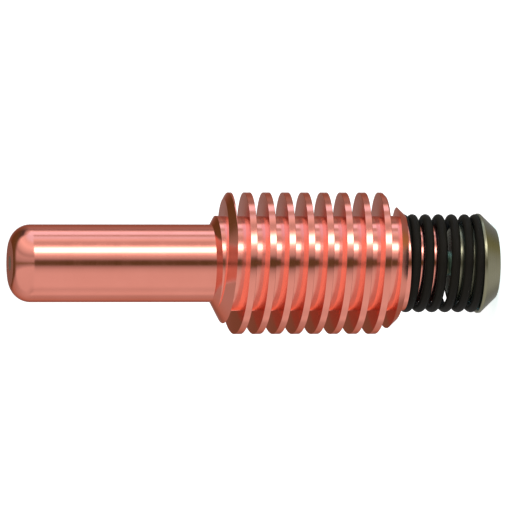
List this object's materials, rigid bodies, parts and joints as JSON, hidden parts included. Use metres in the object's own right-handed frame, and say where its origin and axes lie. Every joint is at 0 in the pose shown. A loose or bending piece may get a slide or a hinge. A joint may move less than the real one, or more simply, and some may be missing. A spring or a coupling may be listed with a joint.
{
  "type": "plasma torch electrode",
  "caption": "Blow-back plasma torch electrode: copper nose and helical cooling fins, with a captive return spring and a sliding contact plunger at the rear.",
  "frame": {"origin": "centre of the plunger's flat rear contact face, which the part stands on", "axes": "+Z along the torch axis towards the nose, the long way of the part; X and Y are across it"},
  "size_m": [0.0138, 0.0138, 0.048],
  "materials": {
    "copper": null,
    "emissive_metal": "dull grey emissive metal, faced off with the nose",
    "black_spring_steel": "black oxide, matt",
    "nickel_plated_brass": "satin nickel plate on brass"
  },
  "bodies": {
    "electrode": {"electrode_body": "copper", "emissive_insert": "emissive_metal"},
    "plunger": {"contact_plunger": "nickel_plated_brass", "return_spring": "black_spring_steel"}
  },
  "joints": [
    {"name": "plunger_slide", "type": "slide", "parent": "electrode", "child": "plunger", "axis": [0, 0, 1], "range_m": [0, 0.00105], "stiffness_N_per_m": 1000, "springref_m": -0.0004, "deforming": ["return_spring"]}
  ]
}
